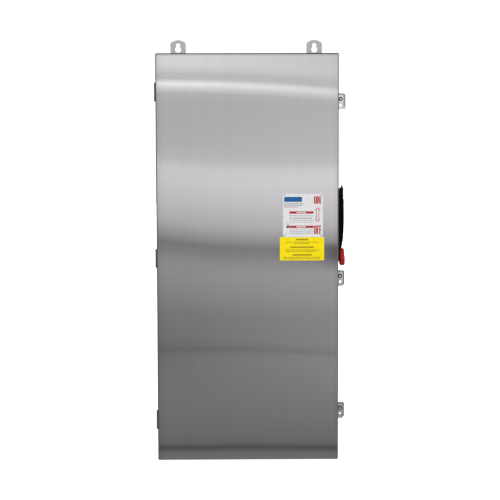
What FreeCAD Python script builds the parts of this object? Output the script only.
"""Wall-mounted fused disconnect switch in a stainless cabinet, as separate solids in millimetres.

Row frame: +X to the right as seen from the front, +Y into the wall, +Z up. The wall plane is y = 0 and the
origin is the centre of the four wall-bolt holes. The rest state is the door shut, the handle down (off), the
knife blades open and the door screws tight.
"""
import FreeCAD
import Part

import math
import os

V = FreeCAD.Vector

# ---- cabinet ---------------------------------------------------------------------------------------------
DOOR_W, DOOR_H = 602.5, 1352.0
DOOR_FRONT = -310.0          # y of the door's front face
DOOR_FLANGE = 22.0           # depth of the door's turned edge
SHEET = 2.0
BODY_W, BODY_H = 592.0, 1342.0
BODY_FRONT = -303.0          # y of the rim that the gasket seals on
BODY_BACK = -5.0             # y of the back sheet's outer face
RIM_W = 24.0                 # width of the inward rim
RIM_LIP = 14.0               # depth of the rim's stiffening lip
BEND_R, DOOR_BEND_R = 3.0, 4.0
GASKET_W = 14.0
GASKET_INSET = 6.0           # from the body's outer edge to the gasket
LUG_T, LUG_W = 5.0, 54.0
LUG_X = 237.5                # half the spacing of the wall holes
LUG_HOLE_Z = 721.0
LUG_TOP_Z, LUG_SHOULDER_Z, LUG_WELD_Z = 739.0, 728.0, 636.0
WALL_HOLE_R = 7.5
KEYHOLE_R, KEYHOLE_DROP = 10.5, 14.8

# ---- hinges and door clamps ------------------------------------------------------------------------------
HINGE_X, HINGE_Y = -303.4, -284.0
HINGE_Z = (550.0, 0.0, -542.0)
HINGE_LEN = 60.0
KNUCKLE_R, HINGE_PIN_R = 3.6, 1.8
RUN_GAP = 0.05               # radial running clearance
CLAMP_Z = (518.0, -67.0, -511.0)
CLAMP_NAMES = ("top", "middle", "bottom")
CLAMP_H, CLAMP_OUT, CLAMP_T = 52.0, 20.0, 2.5
CLAMP_FACE = DOOR_FRONT + 8.0   # y of the clips' front faces
CLAMP_DEEP = 12.0               # how far a clip reaches back from its face
CLAMP_BEND = 4.5                # outer radius of a clip's turned edges
WASHER_R, WASHER_T = 6.8, 1.0
CLAMP_HOLE_X, SCREW_X = 308.5, 307.4      # x of the padlock holes and of the screws
SCREW_UP, PADLOCK_DOWN = 8.0, 12.0
PADLOCK_R = 4.7
SCREW_R, SCREW_HEAD, SCREW_HEAD_T = 2.5, 7.0, 3.6     # shank radius, head across flats and thickness
SCREW_END = -277.0              # y of the screws' ends
TAB_OUT = (325.5, 322.5, 322.5)  # x of the tabs' outer edges, the top one wider
TAB_Y = (-287.5, -285.0)
TAB_HOLE_R, NUT_BACK, NUT_FLATS = 3.2, -279.5, 10.0

# ---- poles -----------------------------------------------------------------------------------------------
POLES = {"a": -105.0, "b": 0.0, "c": 105.0}
BARRIER_X = (-52.5, 52.5)
BARRIER_T, GROOVE_DEPTH = 2.4, 30.0
PAN_FRONT = -27.0            # y of the mounting pan's face
BASE_FRONT = -80.0           # y of the insulating bases' faces
BAR_T = 6.0                  # copper bar and blade thickness
JAW_T, JAW_GAP = 3.0, 0.15
BLADE_Y, BLADE_Z = -142.0, 130.0   # blade pivot axis
BLADE_LEN, BLADE_HALF = 160.0, 16.0
BLADE_TRAVEL = 56.4          # degrees from open to closed
FUSE_Y, FUSE_Z = -140.0, -92.0
FUSE_R, FUSE_BODY, FUSE_TOTAL = 31.5, 210.0, 295.0
PIVOT_R = 6.0                # the bolts that the blades turn on
STUB_R = 8.0                 # the frame's stub that the fork turns on
LUG_BORE_R = 13.0
LUG_DEEP, LUG_BORE_BACK = 42.0, 18.0    # a cable lug's depth, and its bore's distance from its back
LUG_SCREW_IN, LUG_SCREW_R = 16.0, 6.5   # its screws' distance from its ends, and their radius
BASE_BOLT_SINK = 12.0        # depth of the counterbores in the bases

# ---- handle and drive ------------------------------------------------------------------------------------
SHAFT_Y, SHAFT_Z, SHAFT_R = -200.0, 130.0, 11.0
CRANK_R = 30.2               # from the shaft to the drive pin
DRIVE_PIN_R = 5.0
FORK_SLOT_HALF = 6.9
WALL_OUT = BODY_W / 2        # x of the right wall's outer face
HOUSING_OUT = 310.0          # x of the handle housing's face
HOUSING_TOP, HOUSING_BOTTOM, HOUSING_HALF = 229.8, -20.3, 38.0
FRAME_X = 184.0              # x of the mechanism plate
ARM_IN = 312.0               # x of the handle arm's inner face
ARM_TOP = 229.8
HANDLE_TRAVEL = 180.0        # degrees from off to on
HASP_X, HASP_Z = 321.8, 190.6
HASP_HOLE_Z, HASP_HOLE_R = 212.0, 4.4
HASP_PIN_R = 1.5
SPRING_X, SPRING_R = (196.0, 232.0), (17.0, 22.0)
BUSHING_R = 16.0
HOUSING_SCREW_IN = 24.0      # from the housing's ends, and from its middle, to its screws
FORK_X = (158.0, 166.0)
FORK_MID = 28.2              # degrees of the fork below the crank's mid line when the switch is off

# ---- door interlock --------------------------------------------------------------------------------------
INTERLOCK_X = (236.0, 240.0)
INTERLOCK_PIVOT = (-225.0, 235.0)      # y, z
INTERLOCK_TRAVEL = 12.0                # degrees from released to engaged
FOLLOWER_TIP = (-202.0, 177.0)         # y, z of the follower's round end when engaged
FOLLOWER_R = 5.0
CAM_GAP = 0.4

# ---- labels ----------------------------------------------------------------------------------------------
NAMEPLATE = (117.5, 249.5, 71.5, 214.5, 0.8)       # x0, x1, z0, z1, thickness
CAUTION = (107.0, 253.5, -6.0, 70.9, 0.4)

# ---- mounting pan, bases and terminals -------------------------------------------------------------------
PAN_X, PAN_Z, PAN_T = 250.0, 600.0, 2.0
PAN_STUDS = [(x, z) for x in (-225.0, 225.0) for z in (-560.0, 0.0, 560.0)]
BASE_X = 165.0
SWITCH_BASE_Z = (2.0, 392.0)
LOAD_BASE_Z = (-345.0, -188.0)
LINE_LUG_Z = (316.0, 374.0)
LOAD_LUG_Z = (-326.0, -268.0)
SHIELD_TOP, SHIELD_T = 388.0, 3.0
GROUND_Z, GROUND_X = -520.0, (-200.0, -110.0)


# ---- helpers ---------------------------------------------------------------------------------------------
def box(x0, x1, y0, y1, z0, z1):
    """A block between two corners, given in any order."""
    x0, x1 = sorted((x0, x1))
    y0, y1 = sorted((y0, y1))
    z0, z1 = sorted((z0, z1))
    return Part.makeBox(x1 - x0, y1 - y0, z1 - z0, V(x0, y0, z0))


def rod_x(x0, x1, y, z, r):
    return Part.makeCylinder(r, abs(x1 - x0), V(min(x0, x1), y, z), V(1, 0, 0))


def rod_y(y0, y1, x, z, r):
    return Part.makeCylinder(r, abs(y1 - y0), V(x, min(y0, y1), z), V(0, 1, 0))


def rod_z(z0, z1, x, y, r):
    return Part.makeCylinder(r, abs(z1 - z0), V(x, y, min(z0, z1)), V(0, 0, 1))


def hex_y(y0, y1, x, z, across_flats):
    """A hexagonal prism along Y."""
    r = across_flats / math.sqrt(3)
    pts = [V(x + r * math.cos(math.radians(60 * i)), min(y0, y1), z + r * math.sin(math.radians(60 * i)))
           for i in range(7)]
    return Part.Face(Part.makePolygon(pts)).extrude(V(0, abs(y1 - y0), 0))


def hex_x(x0, x1, y, z, across_flats):
    """A hexagonal prism along X."""
    turned = hex_y(0, abs(x1 - x0), 0, 0, across_flats)
    turned.rotate(V(0, 0, 0), V(0, 0, 1), -90)
    turned.translate(V(min(x0, x1), y, z))
    return turned


def plate_xz(points, y0, y1):
    """A closed outline of (x, z) points, extruded from y0 to y1."""
    pts = [V(x, min(y0, y1), z) for x, z in points]
    return Part.Face(Part.makePolygon(pts + pts[:1])).extrude(V(0, abs(y1 - y0), 0))


def plate_yz(points, x0, x1):
    """A closed outline of (y, z) points, extruded from x0 to x1."""
    pts = [V(min(x0, x1), y, z) for y, z in points]
    return Part.Face(Part.makePolygon(pts + pts[:1])).extrude(V(abs(x1 - x0), 0, 0))


def hull_yz(circles, x0, x1):
    """The tangent outline round two circles (y, z, r), extruded along X."""
    (ya, za, ra), (yb, zb, rb) = circles
    dist = math.hypot(yb - ya, zb - za)
    base = math.atan2(zb - za, yb - ya)
    lean = math.acos((ra - rb) / dist)
    pts = []
    for y, z, r, sign in ((ya, za, ra, 1), (yb, zb, rb, 1), (yb, zb, rb, -1), (ya, za, ra, -1)):
        angle = base + sign * lean
        pts.append((y + r * math.cos(angle), z + r * math.sin(angle)))
    body = plate_yz(pts, x0, x1)
    for y, z, r in circles:
        body = body.fuse(rod_x(x0, x1, y, z, r))
    return body.removeSplitter()


def edges_along(shape, direction, where=lambda c: True):
    """Straight edges parallel to a direction whose midpoint passes a test."""
    found = []
    for e in shape.Edges:
        if len(e.Vertexes) == 2:
            run = e.Vertexes[1].Point.sub(e.Vertexes[0].Point)
            if run.Length > 1e-6 and abs(run.normalize().dot(direction)) > 0.999 and where(e.CenterOfMass):
                found.append(e)
    return found


def union(shapes):
    """All the shapes fused into one."""
    first, rest = shapes[0], shapes[1:]
    return first.multiFuse(rest).removeSplitter() if rest else first


def turned_x(shape, degrees, y, z):
    """A copy turned about an axis along X through (y, z)."""
    copy = shape.copy()
    copy.rotate(V(0, y, z), V(1, 0, 0), degrees)
    return copy


def save(name, *shapes):
    """Writes one node; several shapes stay separate solids in it."""
    solids = [s for shape in shapes for s in shape.Solids]
    for s in solids:
        if not s.isValid() or s.Volume <= 0:
            raise RuntimeError(f"{name} has a bad solid")
    whole = solids[0] if len(solids) == 1 else Part.makeCompound(solids)
    whole.exportStep(os.path.join("parts", name + ".step"))


# ---- cabinet ---------------------------------------------------------------------------------------------
def enclosure_wrapper():
    """Back and both sides, folded from one sheet, with the rim that turns inward at the front."""
    w, z1 = BODY_W / 2, BODY_H / 2 - SHEET
    outer = box(-w, w, BODY_FRONT, BODY_BACK, -z1, z1)
    outer = outer.makeFillet(BEND_R, edges_along(outer, V(0, 0, 1)))
    inner = box(-w + SHEET, w - SHEET, BODY_FRONT + SHEET, BODY_BACK - SHEET, -z1, z1)
    inner = inner.makeFillet(BEND_R - SHEET, edges_along(inner, V(0, 0, 1)))
    mouth = box(-w + RIM_W, w - RIM_W, BODY_FRONT - 1, BODY_FRONT + SHEET + 1, -z1, z1)
    shell = outer.cut(inner).cut(mouth)
    lips = [box(s * (w - RIM_W), s * (w - RIM_W + SHEET), BODY_FRONT, BODY_FRONT + RIM_LIP, -z1, z1)
            for s in (-1, 1)]
    shell = union([shell] + lips)
    shell = shell.cut(rod_x(w - 10, w + 10, SHAFT_Y, SHAFT_Z, BUSHING_R + 0.1))
    for y, z in housing_screw_places():
        shell = shell.cut(rod_x(w - 10, w + 10, y, z, 3.3))
    return shell


def end_plate(side):
    """Top (+1) or bottom (-1) plate welded into the wrapper, with its own stretch of rim."""
    w, z1 = BODY_W / 2, BODY_H / 2
    sheet = box(-w, w, BODY_FRONT, BODY_BACK, side * (z1 - SHEET), side * z1)
    sheet = sheet.makeFillet(BEND_R, edges_along(sheet, V(0, 0, 1)))
    rim_x = w - RIM_W
    rim = box(-rim_x, rim_x, BODY_FRONT, BODY_FRONT + SHEET, side * (z1 - RIM_W), side * (z1 - SHEET))
    lip = box(-rim_x + SHEET, rim_x - SHEET, BODY_FRONT, BODY_FRONT + RIM_LIP,
              side * (z1 - RIM_W), side * (z1 - RIM_W + SHEET))
    return union([sheet, rim, lip])


def mounting_lug(x, side):
    """A wall lug: a keyhole at the top, a plain hole at the bottom."""
    half = LUG_W / 2
    rise = LUG_TOP_Z - LUG_SHOULDER_Z
    left, right = V(x - half, -LUG_T, LUG_SHOULDER_Z), V(x + half, -LUG_T, LUG_SHOULDER_Z)
    crown = V(x, -LUG_T, LUG_TOP_Z)
    low_left, low_right = V(x - half, -LUG_T, LUG_WELD_Z), V(x + half, -LUG_T, LUG_WELD_Z)
    wire = Part.Wire([Part.Arc(left, crown, right).toShape(),
                      Part.makePolygon([right, low_right, low_left, left])])
    lug = Part.Face(wire).extrude(V(0, LUG_T, 0))
    shoulders = edges_along(lug, V(0, 1, 0), lambda c: c.z > LUG_SHOULDER_Z - 1)
    lug = lug.makeFillet(rise / 2, shoulders)
    lug = lug.cut(rod_y(-LUG_T - 1, 1, x, LUG_HOLE_Z, WALL_HOLE_R))
    if side > 0:
        lug = lug.cut(rod_y(-LUG_T - 1, 1, x, LUG_HOLE_Z - KEYHOLE_DROP, KEYHOLE_R))
    else:
        lug = lug.mirror(V(0, 0, 0), V(0, 0, 1))
    return lug


def door_panel():
    """A tray: the front sheet and its four turned edges, corners welded and ground."""
    w, h = DOOR_W / 2, DOOR_H / 2
    back = DOOR_FRONT + DOOR_FLANGE
    outer = box(-w, w, DOOR_FRONT, back, -h, h)
    outer = outer.makeFillet(DOOR_BEND_R, edges_along(outer, V(0, 1, 0)))
    front_edges = [e for e in outer.Edges if abs(e.CenterOfMass.y - DOOR_FRONT) < 1e-6]
    outer = outer.makeFillet(DOOR_BEND_R - 0.4, front_edges)
    inner = box(-w + SHEET, w - SHEET, DOOR_FRONT + SHEET, back + 1, -h + SHEET, h - SHEET)
    return outer.cut(inner)


def door_gasket():
    """The foam strip glued round the inside of the door, one closed ring."""
    x, z = BODY_W / 2 - GASKET_INSET, BODY_H / 2 - GASKET_INSET
    y0, y1 = DOOR_FRONT + SHEET, BODY_FRONT
    inside = box(-x + GASKET_W, x - GASKET_W, y0, y1, -z + GASKET_W, z - GASKET_W)
    return box(-x, x, y0, y1, -z, z).cut(inside)


def door_stiffener():
    """A hat channel spot-welded down the middle of the door."""
    y0 = DOOR_FRONT + SHEET
    half, wing, depth, t, z1 = 22.0, 16.0, 13.0, 1.5, 590.0
    hat = box(-half, half, y0, y0 + depth, -z1, z1).cut(box(-half + t, half - t, y0, y0 + depth - t, -z1, z1))
    wings = [box(s * (half - t), s * (half + wing), y0, y0 + t, -z1, z1) for s in (-1, 1)]
    return union([hat] + wings)


def hinge_knuckles(z, which):
    """Knuckles of one hinge: the outer two belong to the body, the middle one to the door."""
    z0, third, gap = z - HINGE_LEN / 2, HINGE_LEN / 3, 0.3
    spans = {"body": ((z0, z0 + third - gap), (z0 + 2 * third + gap, z0 + HINGE_LEN)),
             "door": ((z0 + third, z0 + 2 * third),)}[which]
    return spans


def hinge_body_leaf(z):
    """The leaf welded to the cabinet's side, with its two knuckles."""
    leaf_in, leaf_t, back = -BODY_W / 2, 3.0, HINGE_Y + 24.0
    half = HINGE_LEN / 2
    pieces = [box(leaf_in - leaf_t, leaf_in, HINGE_Y + KNUCKLE_R + 0.6, back, z - half, z + half)]
    for a, b in hinge_knuckles(z, "body"):
        pieces.append(rod_z(a, b, HINGE_X, HINGE_Y, KNUCKLE_R))
        pieces.append(box(HINGE_X, leaf_in, HINGE_Y + 0.8, HINGE_Y + KNUCKLE_R, a, b))
        pieces.append(box(leaf_in - leaf_t, leaf_in, HINGE_Y + 0.8, HINGE_Y + KNUCKLE_R + 1, a, b))
    leaf = union(pieces)
    for a, b in hinge_knuckles(z, "body"):
        leaf = leaf.cut(rod_z(a - 1, b + 1, HINGE_X, HINGE_Y, HINGE_PIN_R + RUN_GAP))
    return leaf


def hinge_door_leaf(z):
    """The leaf on the door's turned edge, with the middle knuckle."""
    out, t = -DOOR_W / 2, 2.2
    (a, b), = hinge_knuckles(z, "door")
    plate = box(out - t, out, HINGE_Y - 22, HINGE_Y - KNUCKLE_R - 0.8, z - HINGE_LEN / 2, z + HINGE_LEN / 2)
    neck = box(out - t, out - 0.1, HINGE_Y - KNUCKLE_R - 1, HINGE_Y, a, b)
    leaf = union([plate, neck, rod_z(a, b, HINGE_X, HINGE_Y, KNUCKLE_R)])
    return leaf.cut(rod_z(a - 1, b + 1, HINGE_X, HINGE_Y, HINGE_PIN_R + RUN_GAP))


def hinge_pin(z):
    """The pin, with a flat head below and a peened end above."""
    z0, z1, head = z - HINGE_LEN / 2, z + HINGE_LEN / 2, 1.2
    return union([rod_z(z0 - head, z1 + head, HINGE_X, HINGE_Y, HINGE_PIN_R),
                  rod_z(z0 - head, z0 - 0.05, HINGE_X, HINGE_Y, KNUCKLE_R - 0.4),
                  rod_z(z1 + 0.05, z1 + head, HINGE_X, HINGE_Y, KNUCKLE_R - 0.8)])


def door_clip(z):
    """The cup-shaped clip welded to the door's edge: front plate, side wall, top wall and weld leg."""
    x0, x1 = DOOR_W / 2, DOOR_W / 2 + CLAMP_OUT
    top, low = z + CLAMP_H / 2, z - CLAMP_H / 2
    y0, deep = CLAMP_FACE, CLAMP_FACE + CLAMP_DEEP
    block = box(x0, x1, y0, deep, low, top)
    corner = edges_along(block, V(0, 1, 0), lambda c: c.x > x1 - 1 and c.z > z)
    block = block.makeFillet(CLAMP_BEND + 0.5, corner)
    front_edges = [e for e in block.Edges if abs(e.CenterOfMass.y - y0) < 1e-6]
    turned = [e for e in front_edges if e.CenterOfMass.x > x0 + 1 and e.CenterOfMass.z > low + 1]
    block = block.makeFillet(CLAMP_BEND, turned)
    hollow = box(x0 + CLAMP_T, x1 - CLAMP_T, y0 + CLAMP_T, deep + 1, low - 1, top - CLAMP_T)
    clip = block.cut(hollow)
    slant = [(x1 - 6, low - 1), (x1 + 1, low - 1), (x1 + 1, low + 9), (x1 - CLAMP_T, low + 9)]
    clip = clip.cut(plate_xz(slant, y0 - 1, deep + 1))
    clip = clip.cut(rod_y(y0 - 1, y0 + 5, SCREW_X, z + SCREW_UP, SCREW_R + 0.4))
    return clip.cut(rod_y(y0 - 1, y0 + 5, CLAMP_HOLE_X, z - PADLOCK_DOWN, PADLOCK_R))


def clamp_tab(z, out):
    """The tab welded to the cabinet's side that the clip's screw pulls against."""
    x0 = BODY_W / 2
    y0, y1 = TAB_Y
    half, leg_deep = CLAMP_H / 2 - 1, 25.5
    plate = box(x0 + CLAMP_T, out, y0, y1, z - half, z + half)
    plate = plate.makeFillet(CLAMP_BEND, edges_along(plate, V(0, 1, 0), lambda c: c.x > out - 1))
    leg = box(x0, x0 + CLAMP_T, y0, y0 + leg_deep, z - half, z + half)
    tab = union([plate, leg])
    tab = tab.cut(rod_y(y0 - 1, y1 + 1, SCREW_X, z + SCREW_UP, TAB_HOLE_R))
    return tab.cut(rod_y(y0 - 1, y1 + 1, CLAMP_HOLE_X, z - PADLOCK_DOWN, PADLOCK_R))


def clamp_nut(z):
    """The weld nut behind the tab."""
    nut = hex_y(TAB_Y[1], NUT_BACK, SCREW_X, z + SCREW_UP, NUT_FLATS)
    return nut.cut(rod_y(TAB_Y[1] - 1, NUT_BACK + 1, SCREW_X, z + SCREW_UP, TAB_HOLE_R))


def clamp_screw(z):
    """A captive hex screw with a screwdriver slot."""
    seat = CLAMP_FACE - WASHER_T
    face, zc = seat - SCREW_HEAD_T, z + SCREW_UP
    corner_r, slope = SCREW_HEAD / math.sqrt(3), 1.2
    centre = V(SCREW_X, face, zc)
    chamfer = Part.makeCone(corner_r - slope, corner_r + slope, SCREW_HEAD_T, centre, V(0, 1, 0))
    head = hex_y(face, seat, SCREW_X, zc, SCREW_HEAD).common(chamfer)
    slot = box(SCREW_X - 8, SCREW_X + 8, face - 1, face + 1.6, zc - 0.7, zc + 0.7)
    shank = rod_y(seat, SCREW_END, SCREW_X, zc, SCREW_R)
    return union([head.cut(slot), shank])


def clamp_washer(z):
    """The dark retaining washer on the clip's face, which keeps the screw captive; a flat clears the door."""
    zc, flat = z + SCREW_UP, DOOR_W / 2 + 0.15
    disc = rod_y(CLAMP_FACE - WASHER_T, CLAMP_FACE, SCREW_X, zc, WASHER_R)
    disc = disc.common(box(flat, flat + 20, CLAMP_FACE - 2, CLAMP_FACE + 1, zc - 10, zc + 10))
    return disc.cut(rod_y(CLAMP_FACE - 2, CLAMP_FACE + 1, SCREW_X, zc, SCREW_R + 0.3))


# ---- labels ----------------------------------------------------------------------------------------------
def label(spec):
    """A thin plate on the door's face, with corners just broken."""
    x0, x1, z0, z1, t = spec
    plate = box(x0, x1, DOOR_FRONT - t, DOOR_FRONT, z0, z1)
    return plate.makeFillet(0.5, edges_along(plate, V(0, 1, 0)))


def nameplate_rivets():
    """Four small rivets, one in each corner of the nameplate."""
    x0, x1, z0, z1, t = NAMEPLATE
    inset, head_t, head_r = 4.6, 0.9, 1.9
    face = DOOR_FRONT - t
    places = [(x, z) for x in (x0 + inset, x1 - inset) for z in (z0 + inset, z1 - inset)]
    return [rod_y(face - head_t, face, x, z, head_r) for x, z in places]


# ---- inside ----------------------------------------------------------------------------------------------
def mounting_pan():
    """The inner pan, standing on the back sheet by its turned edges."""
    back = BODY_BACK - SHEET
    pan = box(-PAN_X, PAN_X, PAN_FRONT, back, -PAN_Z, PAN_Z)
    hollow = box(-PAN_X + PAN_T, PAN_X - PAN_T, PAN_FRONT + PAN_T, back, -PAN_Z + PAN_T, PAN_Z - PAN_T)
    pan = pan.cut(hollow)
    for x, z in PAN_STUDS:
        pan = pan.cut(rod_y(PAN_FRONT - 1, PAN_FRONT + PAN_T + 1, x, z, 4.5))
    return pan


def pan_studs():
    """Weld studs on the back sheet with their nuts, one solid each."""
    made = []
    for x, z in PAN_STUDS:
        stud = rod_y(BODY_BACK - SHEET, PAN_FRONT - 14, x, z, 4.0)
        nut = hex_y(PAN_FRONT - 6.5, PAN_FRONT, x, z, 13.0)
        made.append(union([stud, nut]))
    return made


def insulating_base(z0, z1):
    """A moulded base with a deep groove between poles and counterbored bolt holes."""
    base = box(-BASE_X, BASE_X, PAN_FRONT, BASE_FRONT, z0, z1)
    base = base.makeFillet(4.0, edges_along(base, V(0, 1, 0)))
    groove = BARRIER_T / 2 + RUN_GAP
    for x in BARRIER_X:
        bottom = BASE_FRONT + GROOVE_DEPTH
        base = base.cut(box(x - groove, x + groove, BASE_FRONT - 1, bottom, z0 - 1, z1 + 1))
    for x in POLES.values():
        base = base.cut(box(x - 33, x + 33, PAN_FRONT + 1, BASE_FRONT + 22, z0 + 14, z1 - 14))
    for x, z in base_bolt_places(z0, z1):
        base = base.cut(rod_y(PAN_FRONT + 1, BASE_FRONT - 1, x, z, 3.5))
        base = base.cut(rod_y(BASE_FRONT + BASE_BOLT_SINK, BASE_FRONT - 1, x, z, 7.5))
    return base


def base_bolt_places(z0, z1):
    return [(x, z) for x in (-BASE_X + 12, BASE_X - 12) for z in (z0 + 16, z1 - 16)]


def base_bolts():
    """Socket-head bolts that hold both bases to the pan."""
    made = []
    for z0, z1 in (SWITCH_BASE_Z, LOAD_BASE_Z):
        for x, z in base_bolt_places(z0, z1):
            seat = BASE_FRONT + BASE_BOLT_SINK
            head = rod_y(seat - 6, seat, x, z, 6.2).cut(hex_y(seat - 7, seat - 3, x, z, 5.0))
            made.append(union([head, rod_y(seat, PAN_FRONT, x, z, 3.2)]))
    return made


def jaw_pair(x, y_front, z0, z1, hole=None):
    """Two spring plates that grip a blade, with rounded front corners and an optional pivot hole."""
    plates = []
    for s in (-1, 1):
        inner = BAR_T / 2 + JAW_GAP
        p = box(x + s * inner, x + s * (inner + JAW_T), y_front, BASE_FRONT, z0, z1)
        p = p.makeFillet(7.0, edges_along(p, V(1, 0, 0), lambda c: c.y < y_front + 1))
        if hole:
            p = p.cut(rod_x(x - 20, x + 20, BLADE_Y, BLADE_Z, hole))
        plates.append(p)
    return plates


def copper_pad(x, z0, z1, half=20.0):
    pad = box(x - half, x + half, BASE_FRONT - BAR_T, BASE_FRONT, z0, z1)
    return pad.makeFillet(3.0, edges_along(pad, V(0, 1, 0)))


def line_jaw(x):
    """Line terminal: the pad under the lug and the stationary contact jaw."""
    return union([copper_pad(x, 250, 378)] + jaw_pair(x, -170, 256, 294))


def hinge_jaw(x):
    """Hinge terminal: the jaw the blade turns in, the bus bar and the upper fuse clip."""
    parts = [copper_pad(x, 14, 150)]
    parts += jaw_pair(x, -163, 108, 152, PIVOT_R + RUN_GAP)
    parts += jaw_pair(x, -166, 18, 52)
    return union(parts)


def load_clip(x):
    """Load terminal: the lower fuse clip and the pad under the load lug."""
    return union([copper_pad(x, -330, -200)] + jaw_pair(x, -166, -236, -202))


def pivot_bolt(x):
    """The bolt a blade turns on, with its head and nut."""
    jaw_out, head_t, flats = BAR_T / 2 + JAW_GAP + JAW_T, 5.0, 18.0
    end = jaw_out + head_t + 2
    return union([rod_x(x - end, x + end, BLADE_Y, BLADE_Z, PIVOT_R),
                  hex_x(x + jaw_out, x + jaw_out + head_t, BLADE_Y, BLADE_Z, flats),
                  hex_x(x - jaw_out - head_t, x - jaw_out, BLADE_Y, BLADE_Z, flats)])


def cable_lug(x, z0, z1):
    """An aluminium terminal block with one conductor bore along Z and two screw holes in front."""
    half, back = 20.0, BASE_FRONT - BAR_T
    front, bore_y = back - LUG_DEEP, back - LUG_BORE_BACK
    block = box(x - half, x + half, front, back, z0, z1)
    block = block.makeFillet(3.0, edges_along(block, V(0, 0, 1)))
    block = block.cut(rod_z(z0 - 1, z1 + 1, x, bore_y, LUG_BORE_R))
    for z in (z0 + LUG_SCREW_IN, z1 - LUG_SCREW_IN):
        block = block.cut(rod_y(front - 1, bore_y, x, z, LUG_SCREW_R + 0.1))
    return block


def lug_screws():
    """Socket set screws that clamp the conductors, backed off to leave the bore open."""
    made = []
    front = BASE_FRONT - BAR_T - LUG_DEEP
    bore_edge = BASE_FRONT - BAR_T - LUG_BORE_BACK - LUG_BORE_R
    for x in POLES.values():
        for z0, z1 in (LINE_LUG_Z, LOAD_LUG_Z):
            for z in (z0 + LUG_SCREW_IN, z1 - LUG_SCREW_IN):
                screw = rod_y(front - 6, bore_edge - 2, x, z, LUG_SCREW_R)
                made.append(screw.cut(hex_y(front - 7, front + 1, x, z, 8.0)))
    return made


def arc_chute(x):
    """Insulating cheeks and cap around a line jaw."""
    z0, z1, y0 = 238.0, 303.0, -190.0
    cheeks = [box(x + s * 22, x + s * 26, y0, BASE_FRONT, z0, z1) for s in (-1, 1)]
    cap = box(x - 26, x + 26, y0, BASE_FRONT - 12, z1 - 4, z1)
    return union(cheeks + [cap])


def arc_plates():
    """Steel splitter plates, in two banks beside each blade's path."""
    made = []
    for x in POLES.values():
        for i in range(6):
            z = 246.0 + 8.5 * i
            for s in (-1, 1):
                made.append(box(x + s * 9.0, x + s * 22.0, -184.0, -104.0, z, z + 1.6))
    return made


def phase_barriers():
    """Insulating sheets that stand in the bases' grooves between poles."""
    made = []
    half = BARRIER_T / 2
    for x in BARRIER_X:
        made.append(box(x - half, x + half, BASE_FRONT + GROOVE_DEPTH, -206.0, 236.0, SHIELD_TOP - SHIELD_T))
    return made


def line_shield():
    """The clear cover over the line lugs, on two returns at its sides."""
    y0, z0, z1 = -214.0, 308.0, SHIELD_TOP
    front = box(-BASE_X, BASE_X, y0, y0 + SHIELD_T, z0, z1)
    sides = [box(s * (BASE_X - SHIELD_T), s * BASE_X, y0, BASE_FRONT, z0, z1) for s in (-1, 1)]
    top = box(-BASE_X, BASE_X, y0, y0 + 30, z1 - SHIELD_T, z1)
    shield = union([front, top] + sides)
    for x in POLES.values():
        shield = shield.cut(box(x - 9, x + 9, y0 - 1, y0 + 4, z0 + 26, z0 + 44))
    return shield


def blade(x):
    """A knife blade, drawn closed: a round hub, a straight bar and a bevelled leading edge."""
    y0, y1 = BLADE_Y - BLADE_HALF, BLADE_Y + BLADE_HALF
    top = BLADE_Z + BLADE_LEN
    bar = box(x - BAR_T / 2, x + BAR_T / 2, y0, y1, BLADE_Z, top)
    bar = bar.makeFillet(6.0, edges_along(bar, V(1, 0, 0), lambda c: c.z > top - 1))
    hub = rod_x(x - BAR_T / 2, x + BAR_T / 2, BLADE_Y, BLADE_Z, BLADE_HALF)
    made = union([bar, hub]).cut(rod_x(x - 10, x + 10, BLADE_Y, BLADE_Z, PIVOT_R + RUN_GAP))
    return turned_x(made, BLADE_TRAVEL, BLADE_Y, BLADE_Z)


def crossbar():
    """The moulded bar that ties the blades together, drawn closed, with a saddle at each blade."""
    y0, y1 = BLADE_Y - 48.0, BLADE_Y - BLADE_HALF
    z0, z1 = BLADE_Z + 45.0, BLADE_Z + 85.0
    bar = box(-138.0, 158.0, y0, y1, z0, z1)
    bar = bar.makeFillet(6.0, edges_along(bar, V(1, 0, 0), lambda c: c.y < y0 + 1))
    cheeks = []
    for x in POLES.values():
        for s in (-1, 1):
            cheeks.append(box(x + s * BAR_T / 2, x + s * (BAR_T / 2 + 9), y1, BLADE_Y + 10, z0 + 3, z1 - 3))
    return turned_x(union([bar] + cheeks), BLADE_TRAVEL, BLADE_Y, BLADE_Z)


def drive_fork():
    """The bell crank on the crossbar's end: one arm to the bar, one slotted arm for the drive pin."""
    y, z = BLADE_Y, BLADE_Z
    reach = 101.0
    slot_in, slot_out = 58.5, 95.5
    lever = hull_yz([(y, z, 20.0), (y - reach + 13, z, 15.0)], *FORK_X)
    slot = hull_yz([(y - slot_in - FORK_SLOT_HALF, z, FORK_SLOT_HALF),
                    (y - slot_out + FORK_SLOT_HALF, z, FORK_SLOT_HALF - 0.001)], FORK_X[0] - 1, FORK_X[1] + 1)
    lever = turned_x(lever.cut(slot), FORK_MID, y, z)
    foot = plate_yz([(y - 19, z), (y - 46, z + 45), (y - 46, z + 83), (y - 6, z + 83), (y + 18, z + 6)],
                    *FORK_X)
    foot = turned_x(foot, BLADE_TRAVEL, y, z)
    fork = union([lever, foot])
    fork = fork.cut(turned_x(slot, FORK_MID, y, z))
    return fork.cut(rod_x(FORK_X[0] - 1, FORK_X[1] + 1, y, z, STUB_R + RUN_GAP))


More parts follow.
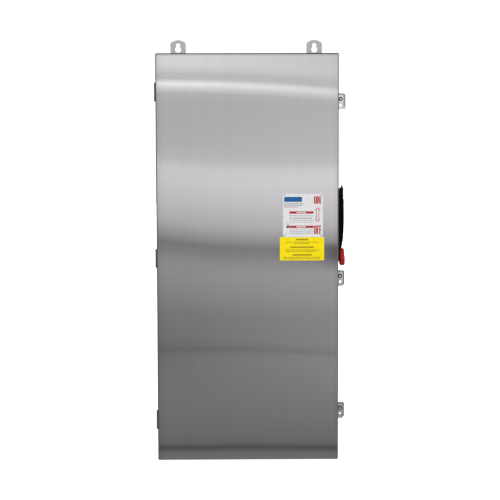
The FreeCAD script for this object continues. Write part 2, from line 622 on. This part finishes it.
def fuse(x):
    """A cartridge fuse: tube, two end caps and two knife blades, one solid."""
    half, total = FUSE_BODY / 2, FUSE_TOTAL / 2
    cap, cap_t, knife_half = 34.0, 1.2, 20.0
    pieces = [rod_z(FUSE_Z - half, FUSE_Z + half, x, FUSE_Y, FUSE_R - cap_t)]
    for s in (-1, 1):
        inner, outer = FUSE_Z + s * half, FUSE_Z + s * total
        pieces.append(rod_z(inner - s * cap, inner, x, FUSE_Y, FUSE_R))
        knife = box(x - BAR_T / 2, x + BAR_T / 2, FUSE_Y - knife_half, FUSE_Y + knife_half, inner, outer)
        ends = edges_along(knife, V(1, 0, 0), lambda c: abs(c.z - FUSE_Z) > total - 1)
        pieces.append(knife.makeFillet(4.0, ends))
    return union(pieces)


def ground_bar():
    """An aluminium ground bar on the pan with two conductor bores along Z."""
    x0, x1 = GROUND_X
    bar = box(x0, x1, PAN_FRONT, PAN_FRONT - 22, GROUND_Z - 12, GROUND_Z + 12)
    for x in (x0 + 30, x1 - 30):
        bar = bar.cut(rod_z(GROUND_Z - 13, GROUND_Z + 13, x, PAN_FRONT - 10, 6.0))
        bar = bar.cut(rod_y(PAN_FRONT - 10, PAN_FRONT - 23, x, GROUND_Z, 4.6))
    for x in (x0 + 10, x1 - 10):
        bar = bar.cut(rod_y(PAN_FRONT, PAN_FRONT - 23, x, GROUND_Z, 3.4))
    return bar


def ground_screws():
    """Two clamping screws and two fixing screws."""
    x0, x1 = GROUND_X
    face = PAN_FRONT - 22
    made = []
    for x in (x0 + 30, x1 - 30):
        screw = rod_y(PAN_FRONT - 17.5, face - 5, x, GROUND_Z, 4.5)
        made.append(screw.cut(box(x - 5, x + 5, face - 6, face - 3, GROUND_Z - 0.7, GROUND_Z + 0.7)))
    for x in (x0 + 10, x1 - 10):
        head = rod_y(face, face - 4, x, GROUND_Z, 5.6)
        slot = box(x - 6, x + 6, face - 5, face - 2.5, GROUND_Z - 0.7, GROUND_Z + 0.7)
        made.append(union([head.cut(slot), rod_y(PAN_FRONT, face, x, GROUND_Z, 3.3)]))
    return made


# ---- handle and mechanism --------------------------------------------------------------------------------
def mechanism_frame():
    """A folded steel plate beside the switch that carries the shaft, the fork's stub and the interlock."""
    x0, x1 = FRAME_X, FRAME_X + 4
    side = plate_yz([(PAN_FRONT, 52), (-150, 52), (-232, 92), (-244, 130), (-244, 262), (-206, 262),
                     (-190, 196), (PAN_FRONT, 206)], x0, x1)
    foot = box(x0, x0 + 38, PAN_FRONT, PAN_FRONT - 4, 52, 206)
    frame = union([side, foot])
    frame = frame.cut(rod_x(x0 - 1, x1 + 1, SHAFT_Y, SHAFT_Z, SHAFT_R + RUN_GAP))
    stub = rod_x(x0, FORK_X[0] - 3, BLADE_Y, BLADE_Z, STUB_R)
    clip = rod_x(FORK_X[0] - 0.4, FORK_X[0] - 2.4, BLADE_Y, BLADE_Z, 11.0)
    arm = box(x1, INTERLOCK_X[0] - 1, -240, -212, 244, 248)
    ear = box(INTERLOCK_X[0] - 5, INTERLOCK_X[0] - 1, -240, -212, 222, 248)
    pin = rod_x(INTERLOCK_X[0] - 5, INTERLOCK_X[1] + 3, INTERLOCK_PIVOT[0], INTERLOCK_PIVOT[1], 4.0)
    for z in (72, 186):
        frame = frame.cut(rod_y(PAN_FRONT + 1, PAN_FRONT - 5, x0 + 24, z, 3.5))
    return union([frame, stub, clip, arm, ear, pin])


def interlock_lever():
    """The door interlock: drawn engaged, then turned back to its released rest position."""
    py, pz = INTERLOCK_PIVOT
    arm = plate_yz([(py + 9, pz - 9), (py - 60, pz + 13), (-298, pz + 19), (-298, 275), (-292.5, 275),
                    (-291.5, pz + 27), (py - 50, pz + 23), (py + 4, pz + 9)], *INTERLOCK_X)
    tail = hull_yz([(py, pz, 9.0), (*FOLLOWER_TIP, FOLLOWER_R)], *INTERLOCK_X)
    lever = union([arm, tail, rod_x(INTERLOCK_X[0], INTERLOCK_X[1], py, pz, 11.0)])
    lever = lever.cut(rod_x(INTERLOCK_X[0] - 1, INTERLOCK_X[1] + 1, py, pz, 4.0 + RUN_GAP))
    return turned_x(lever, INTERLOCK_TRAVEL, py, pz)


def interlock_catch():
    """The staple on the door that the interlock hooks in front of."""
    y0 = DOOR_FRONT + SHEET
    base = box(222, 254, y0, y0 + 2, 252, 288)
    ears = [box(x, x + 3, y0, -281, 264, 276) for x in (226, 247)]
    bar = rod_x(226, 250, -284, 270, 3.0)
    return union([base, bar] + ears)


def housing_screw_places():
    """(y, z) of the four screws that hold the handle housing."""
    heights = (HOUSING_BOTTOM + HOUSING_SCREW_IN, HOUSING_TOP - HOUSING_SCREW_IN)
    return [(SHAFT_Y + s * HOUSING_SCREW_IN, z) for s in (-1, 1) for z in heights]


def handle_housing():
    """The black housing behind the handle: a shallow shell with rounded ends and recessed screws."""
    y0, y1 = SHAFT_Y - HOUSING_HALF, SHAFT_Y + HOUSING_HALF
    wall = 3.0
    outer = box(WALL_OUT, HOUSING_OUT, y0, y1, HOUSING_BOTTOM, HOUSING_TOP)
    outer = outer.makeFillet(22.0, edges_along(outer, V(1, 0, 0)))
    outer = outer.makeFillet(4.0, [e for e in outer.Edges if abs(e.CenterOfMass.x - HOUSING_OUT) < 1e-6])
    inner = box(WALL_OUT, HOUSING_OUT - wall, y0 + wall, y1 - wall, HOUSING_BOTTOM + wall, HOUSING_TOP - wall)
    inner = inner.makeFillet(19.0, edges_along(inner, V(1, 0, 0)))
    bosses = [rod_x(WALL_OUT, HOUSING_OUT - 1, y, z, 9.0) for y, z in housing_screw_places()]
    shell = union([outer.cut(inner)] + bosses)
    shell = shell.cut(rod_x(HOUSING_OUT - 10, HOUSING_OUT + 1, SHAFT_Y, SHAFT_Z, BUSHING_R - 0.4))
    for y, z in housing_screw_places():
        shell = shell.cut(rod_x(WALL_OUT - 1, HOUSING_OUT + 1, y, z, 3.3))
        shell = shell.cut(rod_x(HOUSING_OUT - 5, HOUSING_OUT + 1, y, z, 6.4))
    return shell


def housing_screws():
    """Four socket-head screws with nuts inside the cabinet wall."""
    made = []
    for y, z in housing_screw_places():
        head = rod_x(HOUSING_OUT - 5, HOUSING_OUT - 0.6, y, z, 5.8)
        head = head.cut(hex_x(HOUSING_OUT - 3, HOUSING_OUT, y, z, 5.0))
        shank = rod_x(WALL_OUT - SHEET - 8, HOUSING_OUT - 5, y, z, 3.0)
        nut = hex_x(WALL_OUT - SHEET - 5.5, WALL_OUT - SHEET, y, z, 10.0)
        made.append(union([head, shank, nut]))
    return made


def shaft_bushing():
    """The flanged bearing through the cabinet wall, with its locknut."""
    body = rod_x(280, WALL_OUT + 6, SHAFT_Y, SHAFT_Z, BUSHING_R)
    flange = rod_x(WALL_OUT, WALL_OUT + 3, SHAFT_Y, SHAFT_Z, 22.0)
    nut = hex_x(WALL_OUT - SHEET - 8, WALL_OUT - SHEET, SHAFT_Y, SHAFT_Z, 42.0)
    return union([body, flange, nut]).cut(rod_x(270, 310, SHAFT_Y, SHAFT_Z, SHAFT_R + RUN_GAP))


def shaft_seal():
    """The rubber ring on the bushing's outer end."""
    ring = rod_x(WALL_OUT + 6, WALL_OUT + 9, SHAFT_Y, SHAFT_Z, BUSHING_R)
    return ring.cut(rod_x(WALL_OUT + 5, WALL_OUT + 10, SHAFT_Y, SHAFT_Z, SHAFT_R + 0.3))


def drive_spring():
    """The torsion spring round the shaft, as the sleeve that its coils fill."""
    inner, outer = SPRING_R
    sleeve = rod_x(SPRING_X[0], SPRING_X[1], SHAFT_Y, SHAFT_Z, outer)
    return sleeve.cut(rod_x(SPRING_X[0] - 1, SPRING_X[1] + 1, SHAFT_Y, SHAFT_Z, inner))


def cam_outline(steps=12):
    """The cam's rim: the follower's path over a disc that turns with the shaft, less its clearance."""
    py, pz = INTERLOCK_PIVOT
    ty, tz = FOLLOWER_TIP[0] - py, FOLLOWER_TIP[1] - pz
    rim = []
    for i in range(steps + 1):
        share = i / steps
        lift = math.radians(INTERLOCK_TRAVEL * (1 - share))
        y = py + ty * math.cos(lift) - tz * math.sin(lift) - SHAFT_Y
        z = pz + ty * math.sin(lift) + tz * math.cos(lift) - SHAFT_Z
        angle = math.atan2(z, y) + math.radians(HANDLE_TRAVEL) * share
        reach = math.hypot(y, z) - FOLLOWER_R - CAM_GAP
        rim.append(V(0, SHAFT_Y + reach * math.cos(angle), SHAFT_Z + reach * math.sin(angle)))
    return rim


def operating_shaft():
    """The shaft, with a collar for the spring's moving leg and the cam that sets the interlock."""
    shaft = rod_x(167.0, 318.0, SHAFT_Y, SHAFT_Z, SHAFT_R)
    collar = rod_x(233.0, INTERLOCK_X[0], SHAFT_Y, SHAFT_Z, 24.0)
    rim = cam_outline()
    curve = Part.BSplineCurve()
    curve.interpolate(rim)
    wire = Part.Wire([curve.toShape(), Part.makePolygon([rim[-1], rim[0]])])
    cam = Part.Face(wire).extrude(V(INTERLOCK_X[1] - INTERLOCK_X[0], 0, 0))
    cam.translate(V(INTERLOCK_X[0], 0, 0))
    hub = rod_x(INTERLOCK_X[0], INTERLOCK_X[1], SHAFT_Y, SHAFT_Z, 24.0)
    return union([shaft, collar, cam, hub])


def drive_crank():
    """The crank on the shaft's inner end and its drive pin, pointing down when the switch is off."""
    y, z = SHAFT_Y, SHAFT_Z
    arm = hull_yz([(y, z, 18.0), (y, z - CRANK_R, 11.0)], 169.0, 179.0)
    pin = rod_x(155.0, 179.0, y, z - CRANK_R, DRIVE_PIN_R)
    return union([arm, pin]).cut(rod_x(160, 190, y, z, SHAFT_R + RUN_GAP))


def handle_arm():
    """The lever: a bowed profile from the side, waisted from the front, with a long window near the grip."""
    outer = [V(320.0, 0, ARM_TOP), V(320.0, 0, 196.5), V(318.3, 0, 194.0), V(318.3, 0, 187.0),
             V(325.2, 0, 187.0)]
    bow = [V(325.2, 0, 187.0), V(325.9, 0, 134.0), V(325.4, 0, 88.0), V(323.8, 0, 58.0), V(321.2, 0, 40.0),
           V(319.2, 0, 30.0)]
    curve = Part.BSplineCurve()
    curve.interpolate(bow)
    low = [V(319.2, 0, 30.0), V(318.4, 0, 25.0), V(318.4, 0, -18.0), V(314.6, 0, -18.0), V(314.6, 0, 26.0),
           V(ARM_IN, 0, 26.0), V(ARM_IN, 0, ARM_TOP), V(320.0, 0, ARM_TOP)]
    wire = Part.Wire([Part.makePolygon(outer), curve.toShape(), Part.makePolygon(low)])
    profile = Part.Face(wire).extrude(V(0, 60, 0))
    profile.translate(V(0, SHAFT_Y - 30, 0))
    outline = plate_yz([(SHAFT_Y - 22, ARM_TOP + 1), (SHAFT_Y + 22, ARM_TOP + 1), (SHAFT_Y + 24, 130),
                        (SHAFT_Y + 12, 46), (SHAFT_Y + 9, 30), (SHAFT_Y + 9, -19), (SHAFT_Y - 9, -19),
                        (SHAFT_Y - 9, 30), (SHAFT_Y - 12, 46), (SHAFT_Y - 24, 130)], 300, 340)
    arm = profile.common(outline)
    lens = [(314.6, 104), (315.4, 104), (317.7, 72), (318.5, 56), (318.6, 42), (317.8, 42), (317.2, 60)]
    window = plate_xz(lens, SHAFT_Y - 40, SHAFT_Y + 40)
    boss = rod_x(306.0, ARM_IN + 1, SHAFT_Y, SHAFT_Z, 15.0)
    arm = union([arm.cut(window), boss])
    arm = arm.cut(rod_x(300, 318.1, SHAFT_Y, SHAFT_Z, SHAFT_R + RUN_GAP))
    for s in (-1, 1):
        arm = union([arm, hasp_ear(s)])
    return arm.cut(rod_y(SHAFT_Y - 30, SHAFT_Y + 30, HASP_X, HASP_Z, HASP_PIN_R + RUN_GAP))


def hasp_ear(s):
    """One ear beside the hasp that holds its hinge pin."""
    y0, y1, r = SHAFT_Y + s * 18.2, SHAFT_Y + s * 22.0, 3.2
    block = box(318.2, HASP_X + r - 0.2, y0, y1, 186.9, HASP_Z)
    return union([block, box(318.2, HASP_X, y0, y1, 186.9, HASP_Z + r), rod_y(y0, y1, HASP_X, HASP_Z, r)])


def padlock_hasp():
    """The swing-out padlock plate: three shackle holes, a rolled hinge end and a bent finger tab."""
    y0, y1 = SHAFT_Y - 18.0, SHAFT_Y + 18.0
    x0, x1 = 320.3, 323.5
    plate = box(x0, x1, y0, y1, HASP_Z, ARM_TOP)
    roll = rod_y(y0, y1, HASP_X, HASP_Z, 3.0)
    lip = ARM_TOP + 0.5
    spike = [(x0, ARM_TOP - 2), (x1, ARM_TOP - 2), (320.6, 238.6), (318.9, 238.6), (316.2, lip), (x0, lip)]
    tab = plate_xz(spike, y0 + 8, y1 - 8)
    hasp = union([plate, roll, tab])
    for dy in (-11.5, 0.0, 11.5):
        hasp = hasp.cut(rod_x(x0 - 5, x1 + 5, SHAFT_Y + dy, HASP_HOLE_Z, HASP_HOLE_R))
    return hasp.cut(rod_y(y0 - 1, y1 + 1, HASP_X, HASP_Z, HASP_PIN_R + RUN_GAP))


def hasp_pin():
    """The pin through both ears and the hasp's rolled end."""
    return rod_y(SHAFT_Y - 22.6, SHAFT_Y + 22.6, HASP_X, HASP_Z, HASP_PIN_R)


def handle_grip():
    """The red grip moulded over the arm's tang: flat inside, wider at its foot, with rounded edges."""
    y0, y1 = SHAFT_Y - 15.0, SHAFT_Y + 15.0
    side = [(311.6, 25.6), (327.4, 25.6), (331.2, -10.0), (330.6, -32.3), (311.6, -32.3)]
    grip = plate_xz(side, y0, y1)
    grip = grip.makeFillet(1.6, edges_along(grip, V(0, 1, 0), lambda c: c.z > 20))
    grip = grip.makeFillet(5.0, edges_along(grip, V(0, 1, 0), lambda c: c.z < -12))
    grip = grip.makeFillet(2.4, [e for e in grip.Edges if abs(e.CenterOfMass.y - y0) < 1e-6
                                 or abs(e.CenterOfMass.y - y1) < 1e-6])
    return grip.cut(box(314.5, 318.5, SHAFT_Y - 9.1, SHAFT_Y + 9.1, -18.1, 31.0))


# ---- all nodes -------------------------------------------------------------------------------------------
def main():
    os.makedirs("parts", exist_ok=True)
    save("enclosure_wrapper", enclosure_wrapper())
    save("top_end_plate", end_plate(1))
    save("bottom_end_plate", end_plate(-1))
    save("top_mounting_lugs", *[mounting_lug(x, 1) for x in (-LUG_X, LUG_X)])
    save("bottom_mounting_lugs", *[mounting_lug(x, -1) for x in (-LUG_X, LUG_X)])
    save("hinge_body_leaves", *[hinge_body_leaf(z) for z in HINGE_Z])
    save("hinge_door_leaves", *[hinge_door_leaf(z) for z in HINGE_Z])
    save("hinge_pins", *[hinge_pin(z) for z in HINGE_Z])
    save("door_panel", door_panel())
    save("door_gasket", door_gasket())
    save("door_stiffener", door_stiffener())
    save("door_clips", *[door_clip(z) for z in CLAMP_Z])
    save("clamp_tabs", *[clamp_tab(z, out) for z, out in zip(CLAMP_Z, TAB_OUT)])
    save("clamp_nuts", *[clamp_nut(z) for z in CLAMP_Z])
    save("clamp_washers", *[clamp_washer(z) for z in CLAMP_Z])
    for name, z in zip(CLAMP_NAMES, CLAMP_Z):
        save("clamp_screw_" + name, clamp_screw(z))
    save("nameplate", label(NAMEPLATE))
    save("caution_label", label(CAUTION))
    save("nameplate_rivets", *nameplate_rivets())
    save("mounting_pan", mounting_pan())
    save("pan_studs", *pan_studs())
    save("switch_base", insulating_base(*SWITCH_BASE_Z))
    save("load_base", insulating_base(*LOAD_BASE_Z))
    save("base_bolts", *base_bolts())
    save("arc_plates", *arc_plates())
    save("phase_barriers", *phase_barriers())
    save("line_shield", line_shield())
    save("line_jaws", *[line_jaw(x) for x in POLES.values()])
    save("load_clips", *[load_clip(x) for x in POLES.values()])
    save("arc_chutes", *[arc_chute(x) for x in POLES.values()])
    save("blade_pivot_bolts", *[pivot_bolt(x) for x in POLES.values()])
    save("hinge_jaws", *[hinge_jaw(x) for x in POLES.values()])
    save("cable_lugs", *[cable_lug(x, *ends) for ends in (LINE_LUG_Z, LOAD_LUG_Z) for x in POLES.values()])
    for pole, x in POLES.items():
        save("blade_" + pole, blade(x))
        save("fuse_" + pole, fuse(x))
    save("lug_screws", *lug_screws())
    save("crossbar", crossbar())
    save("drive_fork", drive_fork())
    save("ground_bar", ground_bar())
    save("ground_screws", *ground_screws())
    save("mechanism_frame", mechanism_frame())
    save("interlock_lever", interlock_lever())
    save("interlock_catch", interlock_catch())
    save("handle_housing", handle_housing())
    save("housing_screws", *housing_screws())
    save("shaft_bushing", shaft_bushing())
    save("shaft_seal", shaft_seal())
    save("drive_spring", drive_spring())
    save("operating_shaft", operating_shaft())
    save("drive_crank", drive_crank())
    save("handle_arm", handle_arm())
    save("handle_grip", handle_grip())
    save("padlock_hasp", padlock_hasp())
    save("hasp_pin", hasp_pin())


main()
